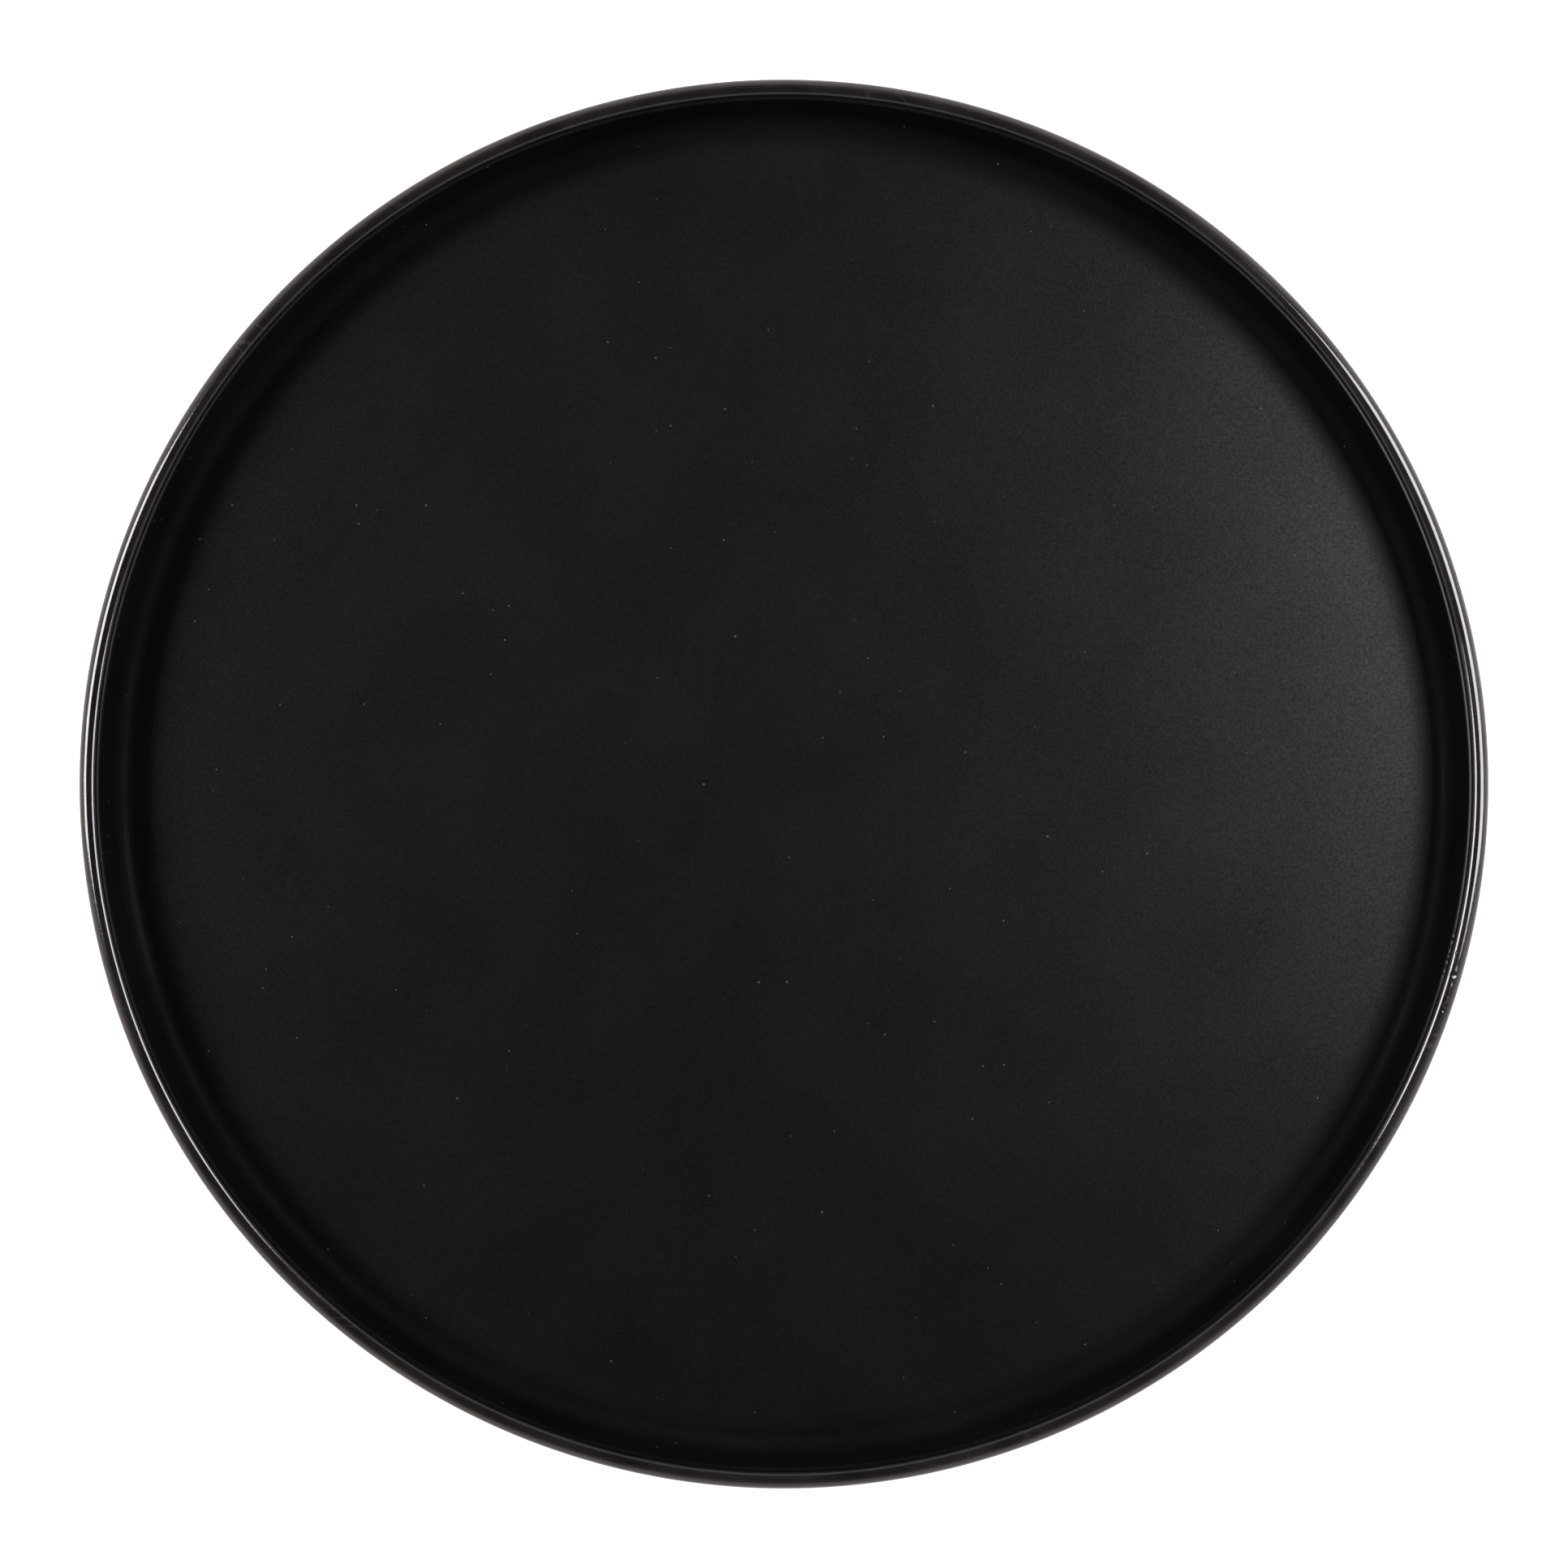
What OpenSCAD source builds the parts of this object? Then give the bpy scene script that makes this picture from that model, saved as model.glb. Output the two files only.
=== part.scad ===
// Round serving tray: a moulded shell with a solid bead round its rim, and a rubber lining
// bonded over the whole of its inside. The origin is the centre of the plane that the foot
// ring stands on, with +Z up. Each piece is one profile turned about Z.

/* [Tray] */
// Outside diameter, over the rim bead
tray_d = 406; // [350:1:500]
// Height, from the foot ring's standing face to the top of the bead
tray_h = 25; // [20:0.5:34]
// Lean of the side wall away from upright, in degrees
wall_lean = 7; // [3:0.5:20]

/* [Shell] */
// Thickness of the moulded shell
shell_t = 2.4; // [2:0.1:3]
// Radius of the round bead along the rim
bead_r = 2.45; // [1.8:0.05:2.9]

/* [Lining] */
// Thickness of the rubber lining
lining_t = 1.2; // [0.8:0.1:2]
// Radius of the lining's bend from floor to wall
bend_r = 6; // [3:0.5:9]
// Radius that rounds the two corners of the lining's cut edge
edge_r = 0.35; // [0.1:0.05:0.35]

/* [Foot ring] */
// Diameter of the middle of the ring's standing face
foot_d = 324; // [200:1:330]
// Width of the standing face
foot_w = 5; // [3:0.5:10]
// How far the ring stands below the shell's floor
foot_h = 1; // [0.6:0.1:2]
// Slope of the ring's two flanks away from upright, in degrees
foot_draft = 50; // [20:5:60]

/* [Hidden] */
$fn = 180;
arc_step = 6;                                   // turn between two points of an arc
end_gap = arc_step / 100;                       // a point this near an arc's end is left out

floor_z = foot_h + shell_t;                     // shell's floor, where the lining is bonded
deck_z = floor_z + lining_t;                    // lining's floor, where glasses stand

out_dir = [cos(wall_lean), -sin(wall_lean)];    // square to the wall, out of the tray
up_dir = [sin(wall_lean), cos(wall_lean)];      // up along the wall

bond_r = bend_r + lining_t;                     // bend of the face between lining and shell
bead_c = [tray_d / 2 - bead_r, tray_h - bead_r];
bead_off = bond_r + bead_r;                     // bead's centre from the bend's, square to the wall
wall_rise = (bead_c.y - deck_z - bend_r - bead_off * out_dir.y) / up_dir.y;
bend_c = bead_c - bead_off * out_dir - wall_rise * up_dir;
floor_r = bend_c.x;                             // radius of the flat floor

lining_top = bead_c - bead_r * out_dir;         // where the bonded face runs into the bead
under_d = shell_t - bead_r;                     // outer wall face from the bead's centre
under_dir = under_d * out_dir - sqrt(bead_r * bead_r - under_d * under_d) * up_dir;
under_angle = atan2(under_dir.y, under_dir.x);  // where the outer wall face meets the bead

foot_run = foot_h * tan(foot_draft);            // width of each sloping flank

// Points on an arc about c, of radius r: its two ends, and each multiple of arc_step between
// them, so that the bead has a point at its widest and at its highest
function arc(c, r, from, to) =
    let (way = sign(to - from),
         first = (floor(from * way / arc_step) + 1) * arc_step * way)
    [for (t = [from, each [first : way * arc_step : to - way * end_gap], to])
        c + r * [cos(t), sin(t)]];

// The foot ring's four corners, from the inner flank to the outer one
function foot_profile() = [
    [(foot_d - foot_w) / 2 - foot_run, foot_h],
    [(foot_d - foot_w) / 2, 0],
    [(foot_d + foot_w) / 2, 0],
    [(foot_d + foot_w) / 2 + foot_run, foot_h]
];

// Flat floor, foot ring, leaning wall and rim bead in one moulding
module tray_body() {
    color([0.07, 0.07, 0.075])
        rotate_extrude()
            polygon(concat(
                [[0, foot_h]],
                foot_profile(),
                arc(bend_c, bond_r + shell_t, -90, -wall_lean),
                arc(bead_c, bead_r, under_angle, 180 - wall_lean),
                arc(bend_c, bond_r, -wall_lean, -90),
                [[0, floor_z]]
            ));
}

// Non-slip rubber sheet that covers the floor and the wall up to the bead
module rubber_lining() {
    corner = lining_top - edge_r * up_dir;
    color([0.13, 0.13, 0.135])
        rotate_extrude()
            polygon(concat(
                [[0, floor_z]],
                arc(bend_c, bond_r, -90, -wall_lean),
                arc(corner - edge_r * out_dir, edge_r, -wall_lean, 90 - wall_lean),
                arc(corner - (lining_t - edge_r) * out_dir, edge_r, 90 - wall_lean, 180 - wall_lean),
                arc(bend_c, bend_r, -wall_lean, -90),
                [[0, deck_z]]
            ));
}

tray_body();
rubber_lining();
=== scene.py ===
# Round serving tray: a glossy moulded shell with a rim bead, and a satin rubber lining bonded inside it
import math

import bpy
import numpy as np
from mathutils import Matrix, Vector


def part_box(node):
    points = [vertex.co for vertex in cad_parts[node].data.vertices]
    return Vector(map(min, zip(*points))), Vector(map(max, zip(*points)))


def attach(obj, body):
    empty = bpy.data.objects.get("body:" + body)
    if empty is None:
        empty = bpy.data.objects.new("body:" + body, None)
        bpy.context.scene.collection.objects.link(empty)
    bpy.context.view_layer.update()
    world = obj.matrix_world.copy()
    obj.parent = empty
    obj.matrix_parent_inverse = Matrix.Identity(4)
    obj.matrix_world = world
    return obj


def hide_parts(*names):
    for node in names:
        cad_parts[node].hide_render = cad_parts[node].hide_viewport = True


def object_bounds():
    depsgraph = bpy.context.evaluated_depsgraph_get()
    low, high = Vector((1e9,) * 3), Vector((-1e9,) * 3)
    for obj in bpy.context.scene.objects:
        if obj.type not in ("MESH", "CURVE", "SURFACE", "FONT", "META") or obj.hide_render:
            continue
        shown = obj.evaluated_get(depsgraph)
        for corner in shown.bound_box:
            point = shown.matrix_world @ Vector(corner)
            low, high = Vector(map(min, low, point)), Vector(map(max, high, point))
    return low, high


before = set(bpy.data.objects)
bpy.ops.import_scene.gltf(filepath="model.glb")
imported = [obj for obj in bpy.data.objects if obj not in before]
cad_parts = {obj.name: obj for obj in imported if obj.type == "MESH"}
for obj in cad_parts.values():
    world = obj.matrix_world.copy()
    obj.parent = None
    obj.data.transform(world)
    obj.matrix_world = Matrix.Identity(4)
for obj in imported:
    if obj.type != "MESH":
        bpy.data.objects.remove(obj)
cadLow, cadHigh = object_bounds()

scene = bpy.context.scene
print("frame loaded:", sorted(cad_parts))

# sizes that both pieces share, in metres and degrees
trayForm = {
    "wallLean": 7,               # away from upright
    "shellThick": 0.0024,
    "liningThick": 0.0012,
    "bendRadius": 0.006,         # lining's bend from floor to wall
    "beadOuter": 0.00300,        # bead's four radii, from outside to inside over the top
    "beadUnder": 0.00220,
    "beadCrown": 0.00240,
    "beadInner": 0.00160,
    "outerTurn": 16,             # where the outer radius gives way to the crown, away from upright
    "innerTurn": 33,             # where the crown gives way to the inner radius
}


def direction(degrees):
    # unit vector (cos, sin); on a profile its two parts are along the radius and up
    return np.array([math.cos(math.radians(degrees)), math.sin(math.radians(degrees))])


rimRadius = min(cadHigh.x, cadHigh.y, -cadLow.x, -cadLow.y)
trayHeight = cadHigh.z
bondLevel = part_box("rubber_lining")[0].z   # shell's floor, where the lining is bonded
deckLevel = bondLevel + trayForm["liningThick"]
footHeight = bondLevel - trayForm["shellThick"]
outward = direction(-trayForm["wallLean"])      # square to the wall, out of the tray
upward = direction(90 - trayForm["wallLean"])   # up along the wall
bondRadius = trayForm["bendRadius"] + trayForm["liningThick"]

# bead centres: each radius starts where the one before it ends, with the same slope
outerTurn = direction(90 - trayForm["outerTurn"])
innerTurn = direction(90 + trayForm["innerTurn"])
crownShift = (trayForm["beadOuter"] - trayForm["beadCrown"]) * outerTurn
outerCentre = np.array([
    rimRadius - trayForm["beadOuter"],
    trayHeight - trayForm["beadCrown"] - crownShift[1],
])
crownCentre = outerCentre + crownShift
innerCentre = crownCentre + (trayForm["beadCrown"] - trayForm["beadInner"]) * innerTurn
underCentre = np.array([rimRadius - trayForm["beadUnder"], outerCentre[1]])
seam = innerCentre - trayForm["beadInner"] * outward       # where bonded face and bead meet

wallRise = (seam[1] - bondRadius * outward[1] - deckLevel - trayForm["bendRadius"]) / upward[1]
bendCentre = seam - bondRadius * outward - wallRise * upward
floorRadius = bendCentre[0]


def arc(centre, radius, start, stop, count):
    # centre + radius * (cos t, sin t), with t in even steps from start to stop degrees
    t = np.radians(np.linspace(start, stop, count))
    return np.asarray(centre) + radius * np.stack([np.cos(t), np.sin(t)], 1)


def straight(a, b, count):
    # a + (b - a) * s, with s in even steps between 0 and 1 and neither end taken
    s = np.linspace(0, 1, count + 2)[1:-1, None]
    return np.asarray(a) * (1 - s) + np.asarray(b) * s


def softCorner(before, corner, after, reach, count):
    # (1 - s)^2 * p + 2 s (1 - s) * corner + s^2 * q, with p and q on the corner's two sides, both at
    # reach from it
    before, corner, after = (np.asarray(point, float) for point in (before, corner, after))
    p = corner + reach * (before - corner) / np.linalg.norm(before - corner)
    q = corner + reach * (after - corner) / np.linalg.norm(after - corner)
    s = np.linspace(0, 1, count)[:, None]
    return (1 - s) ** 2 * p + 2 * s * (1 - s) * corner + s ** 2 * q


def azimuthSteps(count, closer):
    # even angles all round, with closer ones added at each (middle, reach, step); degrees to radians
    near = [middle + np.arange(-reach, reach, step) for middle, reach, step in closer]
    angles = np.concatenate([np.linspace(0, 360, count, endpoint=False)] + near) % 360
    return np.radians(np.unique(np.round(angles, 3)))


def turned(name, azimuths, radius, height, material):
    # point (i, k) = (radius[i, k] * cos a[i], radius[i, k] * sin a[i], height[i, k]);
    # the profile runs from the axis out along the underside and back over the top, and its two
    # ends are single points on the axis, so the surface is closed
    turns, rows = radius.shape
    ring = np.stack([radius * np.cos(azimuths)[:, None], radius * np.sin(azimuths)[:, None], height], 2)
    body = ring[:, 1:-1].reshape(-1, 3)
    points = np.vstack([body, [0, 0, height[:, 0].mean()], [0, 0, height[:, -1].mean()]])
    inner = rows - 2
    i, k = np.meshgrid(np.arange(turns), np.arange(inner - 1), indexing="ij")
    nextTurn = (i + 1) % turns
    quads = np.stack([i * inner + k, nextTurn * inner + k, nextTurn * inner + k + 1, i * inner + k + 1], 2)
    i = np.arange(turns)
    nextTurn = (i + 1) % turns
    low = np.stack([np.full(turns, len(body)), nextTurn * inner, i * inner], 1)
    high = np.stack([i * inner + inner - 1, nextTurn * inner + inner - 1, np.full(turns, len(body) + 1)], 1)
    mesh = bpy.data.meshes.new(name)
    mesh.from_pydata(points, [], quads.reshape(-1, 4).tolist() + low.tolist() + high.tolist())
    mesh.polygons.foreach_set("use_smooth", np.ones(len(mesh.polygons), bool))
    mesh.materials.append(material)
    mesh.update()
    piece = bpy.data.objects.new(name, mesh)
    scene.collection.objects.link(piece)
    print(name, "triangles:", 2 * quads.size // 4 + 2 * turns)
    return piece


def profileFacing(profile):
    # unit normals (dz, -dx) of the profile, from differences between neighbouring points, and
    # the distance along it to each point
    along = np.gradient(profile, axis=0)
    facing = np.stack([along[:, 1], -along[:, 0]], 1)
    facing /= np.linalg.norm(facing, axis=1)[:, None]
    steps = np.linalg.norm(np.diff(profile, axis=0), axis=1)
    return facing, np.concatenate([[0], np.cumsum(steps)])


def ripple(azimuths, seed, waves):
    # sum of cosines of whole numbers of waves round the tray, scaled to stay between -1 and 1
    chance = np.random.default_rng(seed)
    phase = chance.uniform(0, 2 * np.pi, len(waves))
    strength = chance.uniform(0.4, 1, len(waves))
    swing = (strength[:, None] * np.cos(np.outer(waves, azimuths) + phase[:, None])).sum(0)
    return swing / strength.sum()


def hollow(along, across, length, width):
    # exp(-(u^2 + v^2)^1.5), where u and v are the distances over the half-extents
    return np.exp(-((along / length) ** 2 + (across / width) ** 2) ** 1.5)


# short way to add and join nodes in a material or a group
class nodeBench:
    def __init__(self, tree):
        self.tree = tree

    def add(self, kind, **values):
        node = self.tree.nodes.new(kind)
        for key, value in values.items():
            setattr(node, key, value)
        return node

    def join(self, source, target):
        self.tree.links.new(source, target)

    def give(self, socket, value):
        if isinstance(value, (int, float)):
            socket.default_value = value
        elif isinstance(value, tuple):
            socket.default_value = value if len(value) == len(socket.default_value) else (*value, 1)
        else:
            self.join(value, socket)

    def maths(self, operation, *values, clamp=False):
        node = self.add("ShaderNodeMath", operation=operation, use_clamp=clamp)
        for socket, value in zip(node.inputs, values):
            self.give(socket, value)
        return node.outputs[0]

    def noise(self, vector, scale, detail):
        node = self.add("ShaderNodeTexNoise")
        self.join(vector, node.inputs["Vector"])
        self.give(node.inputs["Scale"], scale)
        self.give(node.inputs["Detail"], detail)
        return node.outputs["Fac"]

    def spread(self, value, low, high, toLow=0.0, toHigh=1.0):
        node = self.add("ShaderNodeMapRange", clamp=True)
        for label, given in (("Value", value), ("From Min", low), ("From Max", high),
                             ("To Min", toLow), ("To Max", toHigh)):
            self.give(node.inputs[label], given)
        return node.outputs["Result"]

    def parts(self, vector):
        node = self.add("ShaderNodeSeparateXYZ")
        self.join(vector, node.inputs[0])
        return node.outputs["X"], node.outputs["Y"], node.outputs["Z"]

    def vector(self, x, y, z):
        node = self.add("ShaderNodeCombineXYZ")
        for socket, value in zip(node.inputs, (x, y, z)):
            self.give(socket, value)
        return node.outputs[0]

    def radius(self, x, y):
        return self.maths("SQRT", self.maths("MULTIPLY_ADD", x, x, self.maths("MULTIPLY", y, y)))

    def mixColour(self, factor, a, b):
        node = self.add("ShaderNodeMix", data_type="RGBA")
        self.give(node.inputs["Factor"], factor)
        colours = [socket for socket in node.inputs if socket.type == "RGBA"]
        self.give(colours[0], a)
        self.give(colours[1], b)
        return [socket for socket in node.outputs if socket.type == "RGBA"][0]

    def bump(self, height, distance, before=None):
        node = self.add("ShaderNodeBump")
        self.give(node.inputs["Distance"], distance)
        self.join(height, node.inputs["Height"])
        if before is not None:
            self.join(before, node.inputs["Normal"])
        return node.outputs["Normal"]

    def place(self, tree, where, values):
        node = self.add("ShaderNodeGroup", node_tree=tree)
        self.join(where, node.inputs["Vector"])
        for label, value in values.items():
            self.give(node.inputs[label], value)
        return node.outputs[0]


def newGroup(name, inputs, output):
    # an empty group with a vector and the given numbers going in, and one number coming out
    tree = bpy.data.node_groups.new(name, "ShaderNodeTree")
    tree.interface.new_socket("Vector", in_out="INPUT", socket_type="NodeSocketVector")
    for label, value in inputs.items():
        socket = tree.interface.new_socket(label, in_out="INPUT", socket_type="NodeSocketFloat")
        socket.default_value = value
    tree.interface.new_socket(output, in_out="OUTPUT", socket_type="NodeSocketFloat")
    bench = nodeBench(tree)
    return bench, bench.add("NodeGroupInput").outputs, bench.add("NodeGroupOutput").inputs[0]


def makeGrain():
    # fine pebble: coarse + share * (fine - coarse), as a height between 0 and 1
    bench, given, out = newGroup("pebbleGrain", {"Size": 0.0015, "Fine Share": 0.35}, "Height")
    perMetre = bench.maths("DIVIDE", 1.0, given["Size"])
    coarse = bench.noise(given["Vector"], perMetre, detail=1.5)
    fine = bench.noise(given["Vector"], bench.maths("MULTIPLY", perMetre, 2.7), detail=1.0)
    apart = bench.maths("SUBTRACT", fine, coarse)
    bench.join(bench.maths("MULTIPLY_ADD", apart, given["Fine Share"], coarse), out)
    return bench.tree


def makeSpecks():
    # sparse dots: 1 - distance / size in a share of the cells of a cellular pattern, as a mask;
    # the size differs from cell to cell, from 0.4 to 1.4 of the one given
    bench, given, out = newGroup("dustSpecks", {"Spacing": 0.006, "Dot Size": 0.0003, "Share": 0.3}, "Mask")
    cells = bench.add("ShaderNodeTexVoronoi", feature="F1", voronoi_dimensions="3D")
    bench.join(given["Vector"], cells.inputs["Vector"])
    perMetre = bench.maths("DIVIDE", 1.0, given["Spacing"])
    bench.join(perMetre, cells.inputs["Scale"])
    chance = bench.add("ShaderNodeSeparateColor")
    bench.join(cells.outputs["Color"], chance.inputs["Color"])
    chosen = bench.maths("LESS_THAN", chance.outputs["Red"], given["Share"])
    share = bench.maths("ADD", 0.4, chance.outputs["Green"])
    size = bench.maths("MULTIPLY", bench.maths("MULTIPLY", given["Dot Size"], perMetre), share)
    near = bench.maths("SUBTRACT", size, cells.outputs["Distance"])
    dot = bench.maths("DIVIDE", near, size, clamp=True)
    bench.join(bench.maths("MULTIPLY", dot, chosen, clamp=True), out)
    return bench.tree


def makeRings():
    # faint lines round the axis: noise that changes fast across them and slowly along them
    bench, given, out = newGroup("mouldRings", {"Spacing": 0.001, "Run": 0.03}, "Height")
    x, y, z = bench.parts(given["Vector"])
    across = bench.maths("DIVIDE", bench.maths("SUBTRACT", bench.radius(x, y), z), given["Spacing"])
    alongX = bench.maths("DIVIDE", x, given["Run"])
    alongY = bench.maths("DIVIDE", y, given["Run"])
    stretched = bench.vector(across, alongX, alongY)
    bench.join(bench.noise(stretched, 1.0, detail=2.0), out)
    return bench.tree


def makeScuffs():
    # thin scratches: 1 - |noise - 0.5| / width, from a noise that is stretched and slanted, and
    # only where a broader noise is above the given level
    bench, given, out = newGroup("fineScuffs", {"Size": 0.02, "Width": 0.012, "Patches": 0.56}, "Mask")
    perMetre = bench.maths("DIVIDE", 1.0, given["Size"])
    x, y, z = bench.parts(given["Vector"])
    slantX = bench.maths("MULTIPLY_ADD", y, 3.1, x)
    slantY = bench.maths("MULTIPLY_ADD", x, -0.4, y)
    lines = bench.noise(bench.vector(slantX, slantY, z), perMetre, detail=1.0)
    apart = bench.maths("ABSOLUTE", bench.maths("SUBTRACT", lines, 0.5))
    thin = bench.maths("SUBTRACT", 1.0, bench.maths("DIVIDE", apart, given["Width"]), clamp=True)
    patches = bench.noise(given["Vector"], bench.maths("MULTIPLY", perMetre, 0.6), detail=2.0)
    chosen = bench.maths("GREATER_THAN", patches, given["Patches"])
    bench.join(bench.maths("MULTIPLY", thin, chosen), out)
    return bench.tree


grain = makeGrain()
specks = makeSpecks()
rings = makeRings()
scuffs = makeScuffs()
print("shader groups made")


def startMaterial(name, fixed):
    # fixed holds the values that are the same all over the surface; what comes back is the
    # material, a bench for its nodes, its shader's sockets and the place of each point
    material = bpy.data.materials.new(name)
    material.use_nodes = True
    shader = material.node_tree.nodes["Principled BSDF"]
    for label, value in fixed.items():
        shader.inputs[label].default_value = value
    bench = nodeBench(material.node_tree)
    return material, bench, shader.inputs, bench.add("ShaderNodeTexCoord").outputs["Object"]


liningFinish = {
    "colour": (0.0012, 0.0012, 0.00125),
    "paler": (0.0024, 0.0024, 0.0025),
    "dustColour": (0.13, 0.135, 0.14),
    "dustStrength": 0.30,
    "grain": {"Size": 0.0008, "Fine Share": 0.45},
    "grainDepth": 0.00005,
    "cloudsPerMetre": 26.0,      # mottling
    "turnLines": {"Spacing": 0.0011, "Run": 0.05},
    "dots": {"Spacing": 0.0048, "Dot Size": 0.00030, "Share": 0.50},
    "lint": {"Spacing": 0.019, "Dot Size": 0.00022, "Share": 0.12},
    "lintStretch": (0.5, 0.16),  # how far each hair slants, and what y counts for along it
    "scuffs": {"Size": 0.03, "Width": 0.010, "Patches": 0.60},
    "roughness": (0.55, 0.72),
    "floorSheen": (0.24, 0.66),  # coat share in the grain's hollows and on its tops
    "wallSheen": 0.002,
    "lineSheen": 0.009,          # most that the fine lines round the wall add
    "edgeSheen": 0.22,           # on the cut edge at the top
    "wallFade": (-0.006, -0.001),        # past the floor's end: where the wall's lines come in
    "floorFade": (-0.0055, 0.0008),      # and where the floor's sheen goes out
    "edgeFadeUp": (-0.0010, -0.0007),    # up from the seam: where the cut edge's sheen comes in
    "edgeFadeOut": (-0.00095, -0.00075), # and the same square to the wall
    "fixed": {"Specular IOR Level": 0.02, "Coat Roughness": 0.31, "Coat IOR": 1.5},
}


def makeLiningMaterial(look):
    material, bench, shader, where = startMaterial("satinRubber", look["fixed"])
    x, y, z = bench.parts(where)
    radius = bench.radius(x, y)
    pebble = bench.place(grain, where, look["grain"])
    clouds = bench.noise(where, look["cloudsPerMetre"], detail=4.0)
    turnLines = bench.place(rings, where, look["turnLines"])
    onWall = bench.spread(radius, *(floorRadius + shift for shift in look["wallFade"]))

    mottled = bench.spread(clouds, 0.35, 0.65)
    tone = bench.maths("MULTIPLY_ADD", bench.maths("MULTIPLY", turnLines, onWall), 0.9, mottled)
    base = bench.mixColour(bench.maths("MULTIPLY", tone, 0.6, clamp=True), look["colour"], look["paler"])

    # dust in dots, and in short hairs made from the same dots drawn out along y
    dots = bench.place(specks, where, look["dots"])
    lean, shorter = look["lintStretch"]
    slanted = bench.maths("MULTIPLY_ADD", y, lean, x)
    lintPlace = bench.vector(slanted, bench.maths("MULTIPLY", y, shorter), z)
    lint = bench.place(specks, lintPlace, look["lint"])
    dusty = bench.spread(dots, 0.0, 0.6, 0.0, look["dustStrength"])
    linty = bench.spread(lint, 0.0, 0.5, 0.0, look["dustStrength"])
    dust = bench.maths("MAXIMUM", dusty, linty)
    bench.join(bench.mixColour(dust, base, look["dustColour"]), shader["Base Color"])

    # roughness follows 0.4 marks + 0.5 pebble + 0.4 clouds
    marks = bench.place(scuffs, where, look["scuffs"])
    uneven = bench.maths("MULTIPLY_ADD", pebble, 0.5, bench.maths("MULTIPLY", clouds, 0.4))
    dull = bench.maths("MULTIPLY_ADD", marks, 0.4, uneven)
    bench.join(bench.spread(dull, 0.25, 0.75, *look["roughness"]), shader["Roughness"])

    # distances from the seam with the bead, square to the wall and along it:
    # radius * way.x + z * way.y - seam . way
    fromSeam = []
    for way in (outward, upward):
        climb = bench.maths("MULTIPLY_ADD", z, way[1], -seam @ way)
        fromSeam.append(bench.maths("MULTIPLY_ADD", radius, way[0], climb))
    nearTop = bench.spread(fromSeam[1], *look["edgeFadeUp"])
    onEdge = bench.maths("MULTIPLY", nearTop, bench.spread(fromSeam[0], *look["edgeFadeOut"]))

    # coat share: the grain's tops on the floor, faint lines on the wall, and the whole cut edge
    onFloor = bench.spread(radius, *(floorRadius + shift for shift in look["floorFade"]), 1.0, 0.0)
    tops = bench.spread(pebble, 0.33, 0.67, *look["floorSheen"])
    evened = bench.maths("MULTIPLY", tops, bench.spread(clouds, 0.3, 0.7, 0.93, 1.05))
    shinyLines = bench.spread(turnLines, 0.46, 0.66, 0.0, look["lineSheen"])
    onlyWall = bench.maths("ADD", bench.maths("MULTIPLY", onWall, shinyLines), look["wallSheen"])
    sheen = bench.maths("MULTIPLY_ADD", onFloor, evened, onlyWall)
    withEdge = bench.maths("MULTIPLY_ADD", onEdge, look["edgeSheen"], sheen, clamp=True)
    bench.join(withEdge, shader["Coat Weight"])

    bench.join(bench.bump(pebble, look["grainDepth"]), shader["Normal"])
    return material


shellFinish = {
    "colour": (0.0042, 0.0039, 0.0037),
    "paler": (0.0078, 0.0073, 0.0069),
    "worn": (0.045, 0.044, 0.043),
    "beadReflectionTint": (0.021, 0.0175, 0.0165),    # painted reflection: lighter brownish outer half of the bead, for the warm surroundings it mirrors
    "beadReflectionFade": (-0.0028, -0.0014),     # past the rim's radius: where the painted reflection comes in
    "rubFade": (-0.0005, -0.0001),       # and where trays rub on each other
    "footRub": 0.0004,                   # height of the foot ring's rubbed face
    "dustColour": (0.20, 0.20, 0.20),
    "dustStrength": 0.5,
    "roughness": (0.08, 0.14),
    "grain": {"Size": 0.0016, "Fine Share": 0.3},
    "grainDepth": 0.000012,
    "turnLines": {"Spacing": 0.00035, "Run": 0.025},
    "lineDepth": 0.000010,
    "scuffs": {"Size": 0.022, "Width": 0.014, "Patches": 0.55},
    "dots": {"Spacing": 0.008, "Dot Size": 0.00020, "Share": 0.20},
    "cloudsPerMetre": 60.0,      # mottling
    "fixed": {"IOR": 1.5},
}


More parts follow.
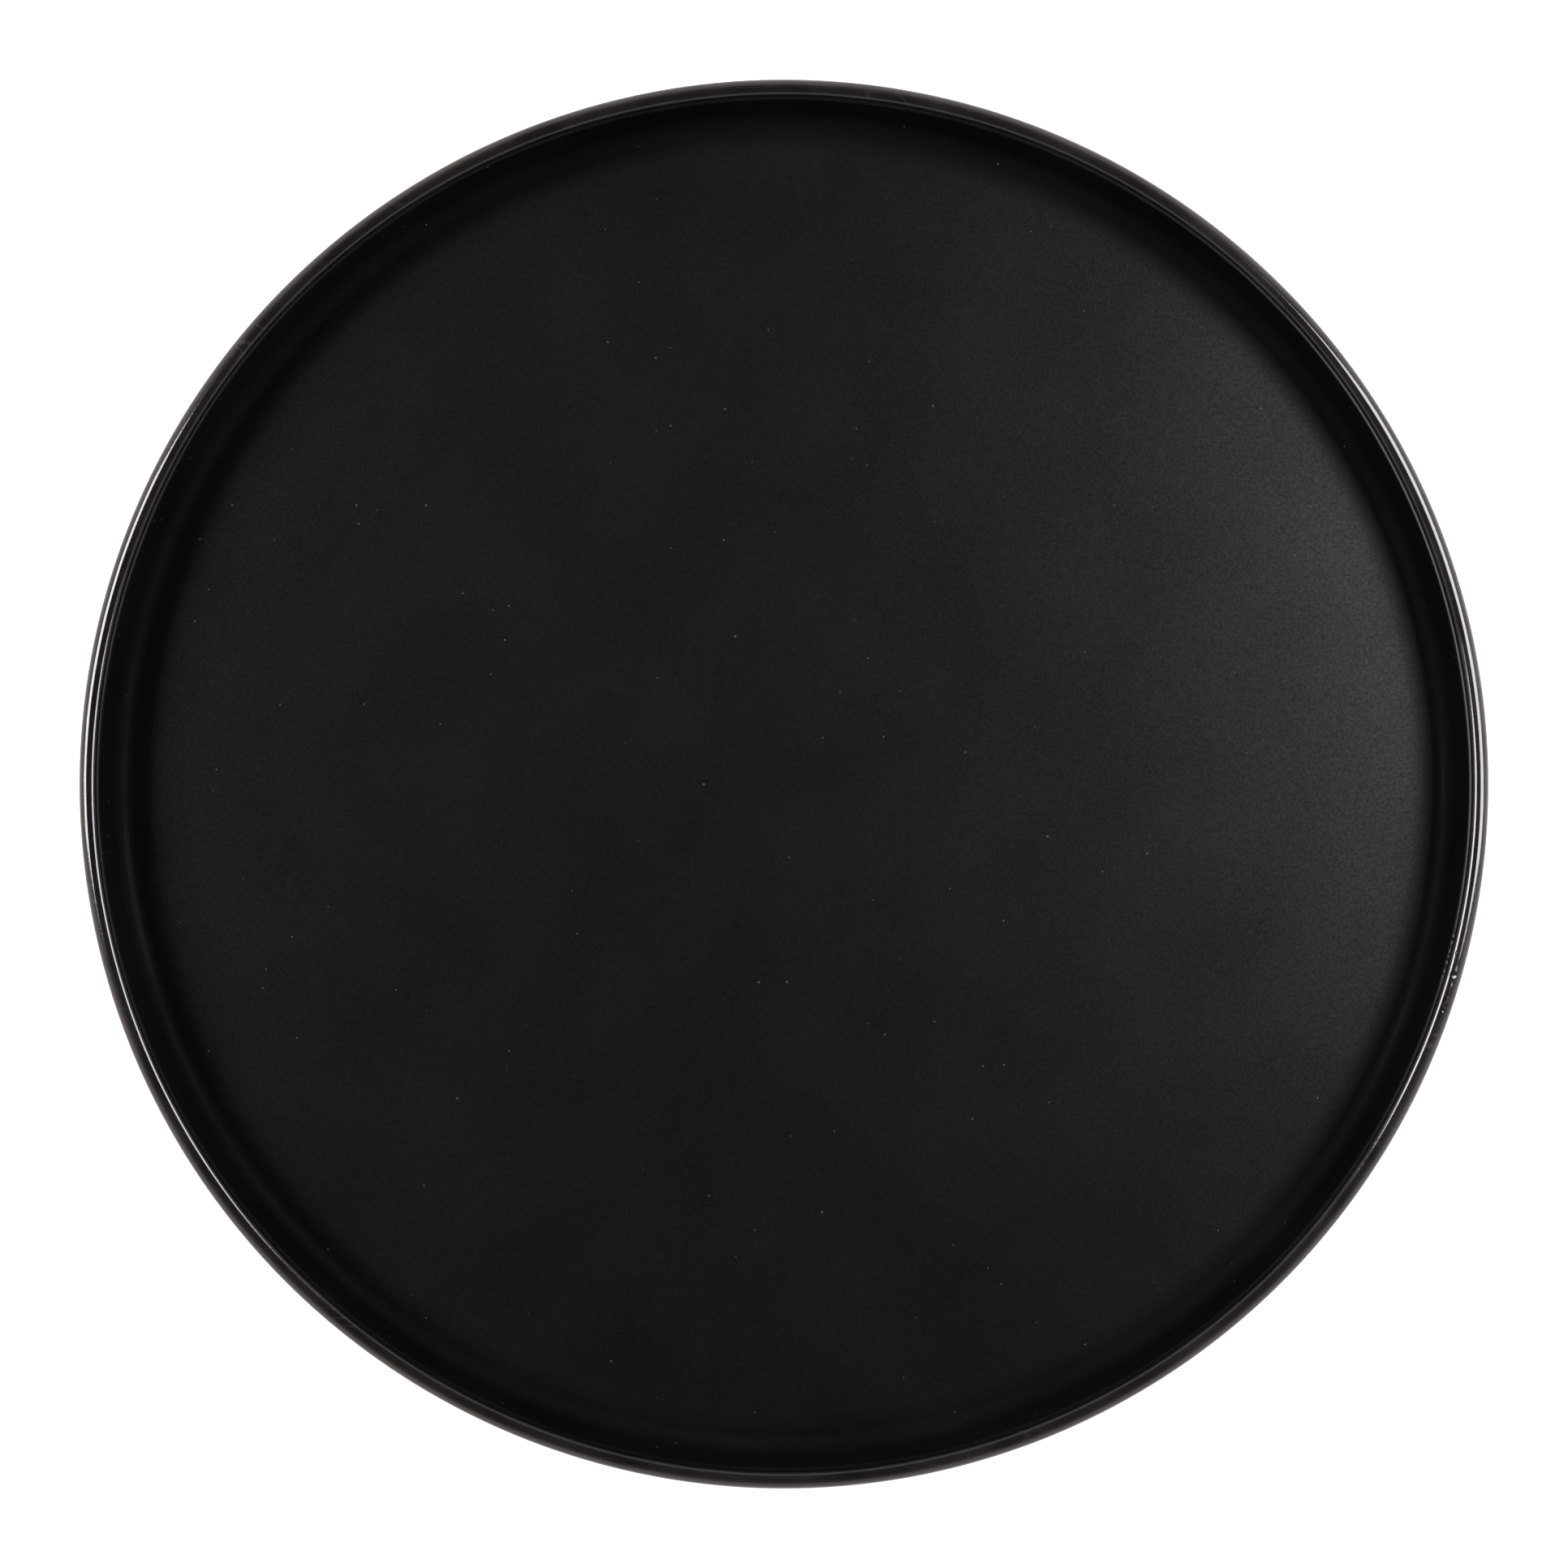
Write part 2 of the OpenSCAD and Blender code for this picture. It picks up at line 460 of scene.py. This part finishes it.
def makeShellMaterial(look):
    material, bench, shader, where = startMaterial("glossShell", look["fixed"])
    x, y, z = bench.parts(where)
    radius = bench.radius(x, y)
    clouds = bench.noise(where, look["cloudsPerMetre"], detail=5.0)
    pebble = bench.place(grain, where, look["grain"])
    turnLines = bench.place(rings, where, look["turnLines"])
    marks = bench.place(scuffs, where, look["scuffs"])

    # the foot ring rubs on tables, and the outermost band of the bead on other trays
    onFoot = bench.spread(z, 0.0, look["footRub"], 1.0, 0.0)
    outermost = bench.spread(radius, *(rimRadius + shift for shift in look["rubFade"]))
    touching = bench.maths("MAXIMUM", onFoot, bench.maths("MULTIPLY", outermost, 0.35))
    rubbed = bench.maths("MULTIPLY", touching, bench.spread(clouds, 0.40, 0.62))
    scuffed = bench.maths("MULTIPLY_ADD", marks, 0.10, bench.maths("MULTIPLY", rubbed, 0.55), clamp=True)

    # black, then the painted reflection on the outer half of the bead, then wear, then dust over everything
    outerHalf = bench.spread(radius, *(rimRadius + shift for shift in look["beadReflectionFade"]))
    beadReflectionShare = bench.maths("MULTIPLY", outerHalf, bench.spread(clouds, 0.30, 0.60, 0.45, 1.0))
    plain = bench.mixColour(bench.spread(clouds, 0.35, 0.65), look["colour"], look["paler"])
    base = bench.mixColour(beadReflectionShare, plain, look["beadReflectionTint"])
    aged = bench.mixColour(scuffed, base, look["worn"])
    dots = bench.place(specks, where, look["dots"])
    dust = bench.spread(dots, 0.0, 0.6, 0.0, look["dustStrength"])
    bench.join(bench.mixColour(dust, aged, look["dustColour"]), shader["Base Color"])

    gloss = bench.spread(clouds, 0.3, 0.7, *look["roughness"])
    scratched = bench.maths("MULTIPLY_ADD", marks, 0.06, gloss)
    dulled = bench.maths("MULTIPLY_ADD", scuffed, 0.45, scratched, clamp=True)
    bench.join(dulled, shader["Roughness"])
    lines = bench.bump(turnLines, look["lineDepth"])
    bench.join(bench.bump(pebble, look["grainDepth"], lines), shader["Normal"])
    return material


rubberBlack = makeLiningMaterial(liningFinish)
shellBlack = makeShellMaterial(shellFinish)
print("materials made")

shellShape = {
    "azimuthSteps": 600,
    "footMiddle": 0.162,
    "footWidth": 0.005,
    "footDraft": 50,             # away from upright
    "footSoftness": 0.0005,
    "coveRadius": 0.0010,        # fills the corner between wall and bead underneath
    "beadRipple": 0.00003,
    "rippleReach": 0.0005,       # how far below its widest level the bead is uneven
    "closeStep": 0.05,           # degrees between profiles beside the marks
    "markReach": 0.25,           # degrees of close profiles to each side of a mark
    "pit": (-15.9, 1.1),         # way round to the largest mark, and the same reach there
    # each mark: way round, tilt of its place from upright, half-length, half-width, depth
    "marks": [
        (-15.9, 1, 0.00075, 0.00085, 0.00015), (-15.2, 13, 0.0014, 0.0007, 0.00004),
        (-16.5, 15, 0.0010, 0.0007, 0.00004), (142.3, 20, 0.00060, 0.00030, 0.00005),
        (141.2, 6, 0.00035, 0.00024, 0.00003), (137.4, 14, 0.00055, 0.00028, 0.00004),
        (130.1, 19, 0.00060, 0.00028, 0.00005), (127.4, 8, 0.00040, 0.00024, 0.00004),
        (124.4, 14, 0.00035, 0.00024, 0.00003), (114.0, 10, 0.00040, 0.00026, 0.00004),
        (147.7, 4, 0.00040, 0.00026, 0.00004), (263.0, 14, 0.00050, 0.00026, 0.00005),
        (337.2, 18, 0.00030, 0.00022, 0.00005), (341.0, 3, 0.00026, 0.00022, 0.00005),
        (345.9, -22, 0.00040, 0.00024, 0.00006),
    ],
}


def shellProfile(shape):
    lean = trayForm["wallLean"]
    outerBend = bondRadius + trayForm["shellThick"]
    run = footHeight * math.tan(math.radians(shape["footDraft"]))
    footIn = shape["footMiddle"] - shape["footWidth"] / 2
    footOut = shape["footMiddle"] + shape["footWidth"] / 2
    foot = [(0, footHeight), (footIn - run, footHeight), (footIn, 0), (footOut, 0),
            (footOut + run, footHeight), (floorRadius, footHeight)]
    corners = [softCorner(*foot[n - 1:n + 2], shape["footSoftness"], 4) for n in (1, 2, 3, 4)]

    # the cove touches the wall's outer face on one side and the bead's lower arc on the other
    proud = (underCentre - seam) @ outward - trayForm["shellThick"]
    cove = shape["coveRadius"]
    reach = cove + trayForm["beadUnder"]
    toCove = (cove - proud) * outward - math.sqrt(reach ** 2 - (cove - proud) ** 2) * upward
    coveCentre = underCentre + toCove
    touch = math.degrees(math.atan2(toCove[1], toCove[0]))
    toCrown = 90 - trayForm["outerTurn"]
    toInner = 90 + trayForm["innerTurn"]

    # the last number of each call is how many points it gives
    return np.vstack([
        [[0, footHeight]],
        straight((0, footHeight), (footIn - run, footHeight), 6),
        *corners,
        straight((footOut + run, footHeight), (floorRadius, footHeight), 3),
        arc(bendCentre, outerBend, -90, -lean, 12),
        straight(bendCentre + outerBend * outward, coveCentre - cove * outward, 4),
        arc(coveCentre, cove, 180 - lean, 180 + touch, 6),
        arc(underCentre, trayForm["beadUnder"], touch, 0, 10)[1:],
        arc(outerCentre, trayForm["beadOuter"], 0, toCrown, 21)[1:],
        arc(crownCentre, trayForm["beadCrown"], toCrown, toInner, 14)[1:],
        arc(innerCentre, trayForm["beadInner"], toInner, 180 - lean, 9)[1:],
        straight(seam, bendCentre + bondRadius * outward, 2),
        arc(bendCentre, bondRadius, -lean, -90, 5),
        [[0, bondLevel]],
    ])


def makeShell(shape):
    profile = shellProfile(shape)
    facing, along = profileFacing(profile)
    tilt = np.degrees(np.arctan2(facing[:, 0], facing[:, 1]))
    onBead = (profile[:, 0] > seam[0]) & (profile[:, 1] > underCentre[1] - shape["rippleReach"])
    closer = [(mark[0], shape["markReach"], shape["closeStep"]) for mark in shape["marks"]]
    closer.append((*shape["pit"], shape["closeStep"]))
    azimuths = azimuthSteps(shape["azimuthSteps"], closer)

    # the whole bead lies a hair inside its full size, and its crown leans slowly in and out
    sway = ripple(azimuths, 3, [7, 11, 17, 26, 41, 58])[:, None]
    swell = ripple(azimuths, 8, [4, 9, 15, 33])[:, None]
    bend = np.sin(np.radians(2 * np.clip(tilt, -80, 80)))[None, :]
    moved = -shape["beadRipple"] * (1 + 0.5 * swell + 0.5 * sway * bend) * onBead[None, :]
    for way, lean, length, width, depth in shape["marks"]:
        middle = along[np.argmin(np.where(onBead, np.abs(tilt - lean), 999))]
        turn = (azimuths - math.radians(way) + np.pi) % (2 * np.pi) - np.pi
        dip = hollow(turn[:, None] * rimRadius, along[None, :] - middle, length, width)
        moved = moved - depth * dip * onBead[None, :]
    radius = profile[:, 0] + moved * facing[:, 0]
    height = profile[:, 1] + moved * facing[:, 1]
    piece = turned("tray_shell", azimuths, radius, height, shellBlack)
    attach(piece, "root")
    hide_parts("tray_body")


makeShell(shellShape)
print("shell made")

liningShape = {
    "azimuthSteps": 720,
    "edgeRadius": 0.00035,       # rounds the two corners of the cut edge
    "edgeDrop": 0.00012,         # how unevenly the edge was cut
    "tornSpot": -14.2,           # way round to the short ragged stretch
    "tornReach": 2.2,
    "tornDrop": 0.00018,
    "closeReach": 3.0,           # degrees of close profiles to each side of the ragged stretch
    "closeStep": 0.06,
    "deckRows": 24,              # points along the floor's top, between its end and the axis
    "floorWave": 0.00003,
}


def liningProfile(shape):
    lean = trayForm["wallLean"]
    thick = trayForm["liningThick"]
    edge = shape["edgeRadius"]
    corner = seam - edge * upward
    innerFoot = bendCentre + trayForm["bendRadius"] * outward
    innerTop = corner - thick * outward

    # the last number of each call is how many points it gives
    return np.vstack([
        [[0, bondLevel]],
        straight((0, bondLevel), (floorRadius, bondLevel), 1),
        arc(bendCentre, bondRadius, -90, -lean, 6),
        arc(corner - edge * outward, edge, -lean, 90 - lean, 7),
        arc(corner - (thick - edge) * outward, edge, 90 - lean, 180 - lean, 8),
        straight(innerTop, innerFoot, 8),
        arc(bendCentre, trayForm["bendRadius"], -lean, -90, 14),
        straight((floorRadius, deckLevel), (0, deckLevel), shape["deckRows"]),
        [[0, deckLevel]],
    ])


def makeLining(shape):
    profile = liningProfile(shape)
    closer = [(shape["tornSpot"], shape["closeReach"], shape["closeStep"])]
    azimuths = azimuthSteps(shape["azimuthSteps"], closer)
    radius = np.tile(profile[:, 0], (len(azimuths), 1))
    height = np.tile(profile[:, 1], (len(azimuths), 1))

    # the cut edge rises and falls along the wall, most in the ragged stretch
    foot = bendCentre[1]
    share = np.clip((profile[:, 1] - foot) / (seam[1] - foot), 0, 1)[None, :]
    uneven = 0.5 + 0.5 * ripple(azimuths, 21, [5, 13, 29, 47, 83])
    turn = np.degrees((azimuths - math.radians(shape["tornSpot"]) + np.pi) % (2 * np.pi) - np.pi)
    ragged = 0.5 + 0.5 * ripple(azimuths, 5, [311, 457, 613, 829])
    torn = np.exp(-(turn / shape["tornReach"]) ** 4) * ragged
    drop = (shape["edgeDrop"] * uneven + shape["tornDrop"] * torn)[:, None] * share
    radius = radius - drop * upward[0]
    height = height - drop * upward[1]

    # slow waves in the floor, which die out towards the wall:
    # (sin(71 x + 0.6) sin(58 y + 1.1) + 0.5 sin(113 x - 97 y)) * (1 - (r / floor radius)^4)
    onTop = np.arange(len(profile))[None, :] >= len(profile) - shape["deckRows"] - 1
    x = radius * np.cos(azimuths)[:, None]
    y = radius * np.sin(azimuths)[:, None]
    calm = np.clip(1 - (radius / floorRadius) ** 4, 0, 1)
    wave = np.sin(71 * x + 0.6) * np.sin(58 * y + 1.1) + 0.5 * np.sin(113 * x - 97 * y)
    height = height + shape["floorWave"] * wave * calm * onTop
    piece = turned("lining_sheet", azimuths, radius, height, rubberBlack)
    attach(piece, "root")
    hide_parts("rubber_lining")


makeLining(liningShape)
print("lining made")

studio = {
    "cameraAway": 1.30,          # straight above the middle of the rim
    "lens": 103.86,
    "tableSize": 12.0,
    "tableColour": (0.30, 0.295, 0.29),
    "tableGlow": 1.0,
    "mirroredGlow": (0.62, 0.59, 0.57),    # the table's own light as the tray mirrors it
    "shownGlow": (0.97, 0.96, 0.95),       # and as the camera sees it
    "shadowUnderTray": (0.02, 0.02, 0.02),       # painted shadow: the table's glow under the tray, where it gives hardly any
    "glowFade": (0.170, 0.2066),           # radii between which the painted shadow gives way to the full glow
    "right": {
        "azimuth": 14,           # degrees from +X towards +Y
        "reach": 0.45,           # metres out from the axis
        "height": 0.40,          # above the rim
        "wide": 0.40,
        "deep": 0.32,
        "radiance": 18.0,
        "colour": (0.95, 0.94, 1.0),
    },
    "left": {
        "azimuth": 169,
        "reach": 1.26,
        "height": 1.08,
        "wide": 0.80,
        "deep": 0.74,
        "radiance": 22.0,
        "colour": (1.0, 0.96, 0.96),
    },
    # the room's bands, each a height and a colour, from level (0) to straight up (1)
    "sky": [(0.0, (0.90, 0.86, 0.83)), (0.30, (1.15, 1.09, 1.05)), (0.50, (0.55, 0.53, 0.52)),
            (0.66, (0.06, 0.06, 0.06)), (1.0, (0.02, 0.02, 0.02))],
}


def makeTable(look):
    # a flat square at height 0, which lights the tray's surroundings itself, with a painted shadow where
    # its glow is dimmed under the tray
    mesh = bpy.data.meshes.new("table")
    half = look["tableSize"] / 2
    corners = [(-half, -half, 0), (half, -half, 0), (half, half, 0), (-half, half, 0)]
    mesh.from_pydata(corners, [], [(0, 1, 2, 3)])
    fixed = {"Roughness": 0.7, "Emission Strength": look["tableGlow"]}
    material, bench, shader, where = startMaterial("paleTable", fixed)
    x, y, z = bench.parts(where)
    bench.give(shader["Base Color"], look["tableColour"])
    # painted shadow under the tray: inside these radii the glow falls to the dark colour
    shown = bench.spread(bench.radius(x, y), *look["glowFade"])
    glow = bench.mixColour(shown, look["shadowUnderTray"], look["shownGlow"])
    mirrored = bench.mixColour(shown, look["shadowUnderTray"], look["mirroredGlow"])
    direct = bench.add("ShaderNodeLightPath").outputs["Is Camera Ray"]
    bench.join(bench.mixColour(direct, mirrored, glow), shader["Emission Color"])
    mesh.materials.append(material)
    table = bpy.data.objects.new("table", mesh)
    scene.collection.objects.link(table)


def makeSoftbox(name, look):
    light = bpy.data.lights.new(name, "AREA")
    light.shape = "RECTANGLE"
    light.size = look["wide"]
    light.size_y = look["deep"]
    light.energy = math.pi * look["wide"] * look["deep"] * look["radiance"]
    light.color = look["colour"]
    lamp = bpy.data.objects.new(name, light)
    x, y = look["reach"] * direction(look["azimuth"])
    lamp.location = (x, y, trayHeight + look["height"])
    aim = Vector((0, 0, trayHeight)) - lamp.location
    lamp.rotation_euler = aim.to_track_quat("-Z", "Y").to_euler()
    lamp.visible_camera = False
    scene.collection.objects.link(lamp)


def makeWorld(look):
    # bright low walls and a dark ceiling for reflections, and white behind the table for the camera
    world = bpy.data.worlds.new("studioWorld")
    scene.world = world
    world.use_nodes = True
    bench = nodeBench(world.node_tree)
    x, y, z = bench.parts(bench.add("ShaderNodeTexCoord").outputs["Generated"])
    bands = bench.add("ShaderNodeValToRGB")
    while len(bands.color_ramp.elements) < len(look["sky"]):
        bands.color_ramp.elements.new(0.5)
    for stop, (position, colour) in zip(bands.color_ramp.elements, look["sky"]):
        stop.position = position
        stop.color = (*colour, 1)
    bench.join(z, bands.inputs["Fac"])
    seen = bench.add("ShaderNodeLightPath").outputs["Is Camera Ray"]
    background = world.node_tree.nodes["Background"]
    shown = bench.mixColour(seen, bands.outputs["Color"], (1.0, 1.0, 1.0))
    bench.join(shown, background.inputs["Color"])


def makeCamera(look):
    camera = bpy.data.cameras.new("camera")
    camera.lens = look["lens"]
    camera.sensor_width = 36
    camera.clip_end = 50
    holder = bpy.data.objects.new("camera", camera)
    holder.location = (0, 0, trayHeight + look["cameraAway"])    # unturned, it looks down with +Y up
    scene.collection.objects.link(holder)
    scene.camera = holder


makeTable(studio)
makeSoftbox("softboxRight", studio["right"])
makeSoftbox("softboxLeft", studio["left"])
makeWorld(studio)
makeCamera(studio)
scene.view_settings.view_transform = "Standard"
print("studio made")
